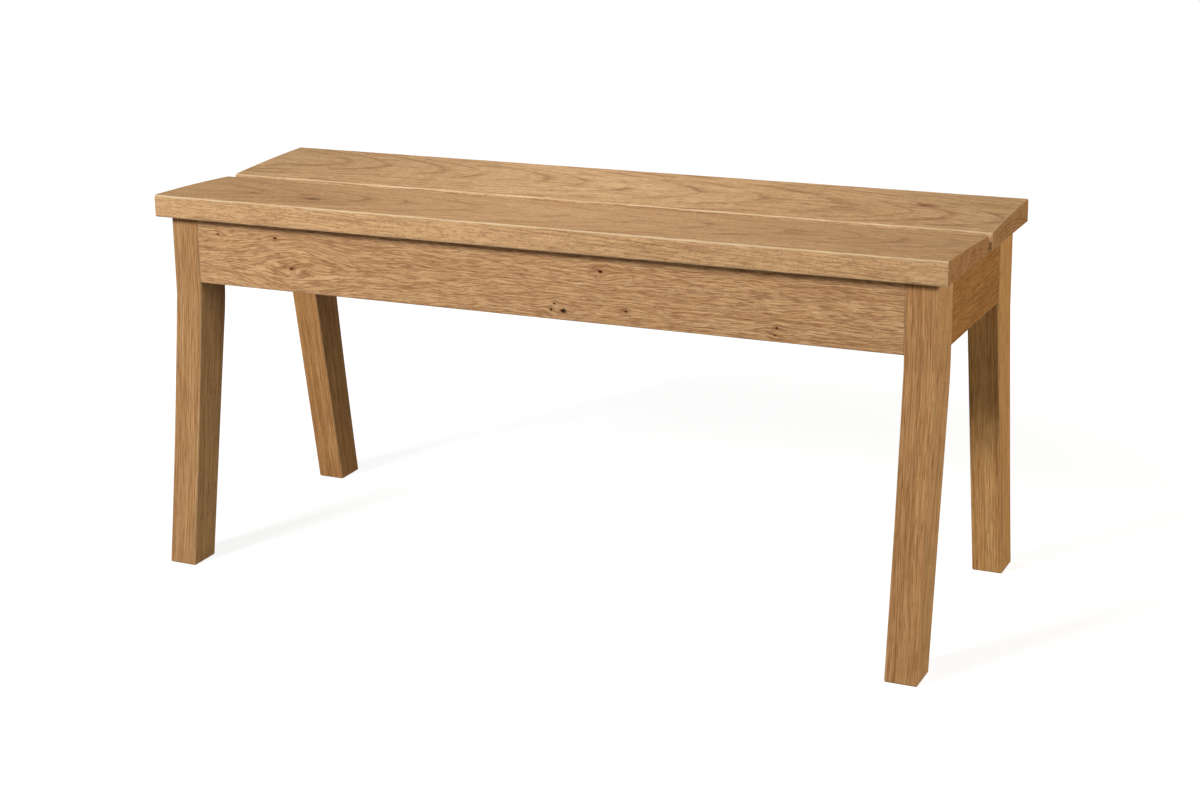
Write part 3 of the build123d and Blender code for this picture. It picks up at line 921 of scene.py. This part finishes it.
def studio_world(ambient):
    """Even light from all round, which the camera and reflections see as white."""
    world = bpy.data.worlds.new("Studio")
    tree, add = start_nodes(world)
    strength = add(MAP_RANGE, [seen_rays(add), 0.0, 1.0, ambient, 1.0])
    add(tree.nodes["Background"], {"Color": (1, 1, 1, 1), "Strength": strength})
    return world


class Stage(bpy.types.Operator):
    """Lay the floor, hang the lamps and set the camera where the bench is seen from"""
    bl_idname = "bench.stage"
    bl_label = "Stage"

    FLOOR_REACH = 20
    AIM = (0, 0, 0.3)
    CAMERA_AT = Vector((1.05566, -2.28466, 0.96741))
    AZIMUTH = math.radians(26.254)
    ELEVATION = math.radians(14.462)
    ROLL = math.radians(-1.211)
    SHIFT = (0.0600, -0.0717)

    def execute(self, context):
        stage = context.scene.bench_stage
        mesh = bpy.data.meshes.new("floor")
        mesh.from_pydata([(x * self.FLOOR_REACH, y * self.FLOOR_REACH, 0)
                          for x, y in ((-1, -1), (1, -1), (1, 1), (-1, 1))], [], [(0, 1, 2, 3)])
        mesh.materials.append(matt_floor(stage.floor))
        floor = bpy.data.objects.new("floor", mesh)
        context.scene.collection.objects.link(floor)

        soft_lamp("Key", (-1.5, -2.9, 2.1), self.AIM, 0.85, stage.key)
        soft_lamp("Side", (2.9, -0.5, 1.15), self.AIM, 1.2, stage.side, stage.side_tint[:3])
        soft_lamp("Top", (0, 0.2, 1), self.AIM, 0.5, stage.top, stage.top_tint[:3])
        soft_lamp("Back", (-0.9, 2.1, 1.7), self.AIM, 1.2, stage.back)
        context.scene.world = studio_world(stage.ambient)

        back = Vector((math.sin(self.AZIMUTH) * math.cos(self.ELEVATION),
                       -math.cos(self.AZIMUTH) * math.cos(self.ELEVATION), math.sin(self.ELEVATION)))
        level = Vector((math.cos(self.AZIMUTH), math.sin(self.AZIMUTH), 0))
        right = math.cos(self.ROLL) * level + math.sin(self.ROLL) * back.cross(level)
        lens = bpy.data.cameras.new("Camera")
        lens.lens = stage.lens
        lens.shift_x, lens.shift_y = self.SHIFT
        camera = bpy.data.objects.new("Camera", lens)
        turn = Matrix((right, back.cross(right), back)).transposed().to_4x4()
        camera.matrix_world = Matrix.Translation(self.CAMERA_AT) @ turn
        context.scene.collection.objects.link(camera)
        context.scene.camera = camera
        context.scene.view_settings.view_transform = "Standard"
        return {"FINISHED"}


class BenchPanel(bpy.types.Panel):
    """Lists the pieces of the bench"""
    bl_idname = "VIEW3D_PT_bench"
    bl_label = "Oak Bench"
    bl_space_type = "VIEW_3D"
    bl_region_type = "UI"
    bl_category = "Bench"

    def draw(self, context):
        for operator in OPERATORS:
            self.layout.operator(operator.bl_idname)
        for name, group in SETTINGS.items():
            box = self.layout.box()
            for prop in group.__annotations__:
                box.prop(getattr(context.scene, name), prop)


SETTINGS = {"bench_oak": OakSettings, "bench_planks": PlankSettings, "bench_screws": ScrewSettings,
            "bench_stage": StageSettings}
OPERATORS = (SeatPlanks, Legs, Rails, InnerFrame, Screws, Stage)


def register():
    for cls in (*SETTINGS.values(), *OPERATORS, BenchPanel):
        bpy.utils.register_class(cls)
    for name, group in SETTINGS.items():
        setattr(bpy.types.Scene, name, bpy.props.PointerProperty(type=group))


def unregister():
    for name in SETTINGS:
        delattr(bpy.types.Scene, name)
    for cls in reversed((*SETTINGS.values(), *OPERATORS, BenchPanel)):
        bpy.utils.unregister_class(cls)


def main():
    register()
    bpy.ops.bench.seat_planks()
    bpy.ops.bench.legs()
    bpy.ops.bench.rails()
    bpy.ops.bench.inner_frame()
    bpy.ops.bench.screws()
    bpy.ops.bench.stage()


if __name__ == "__main__":
    main()
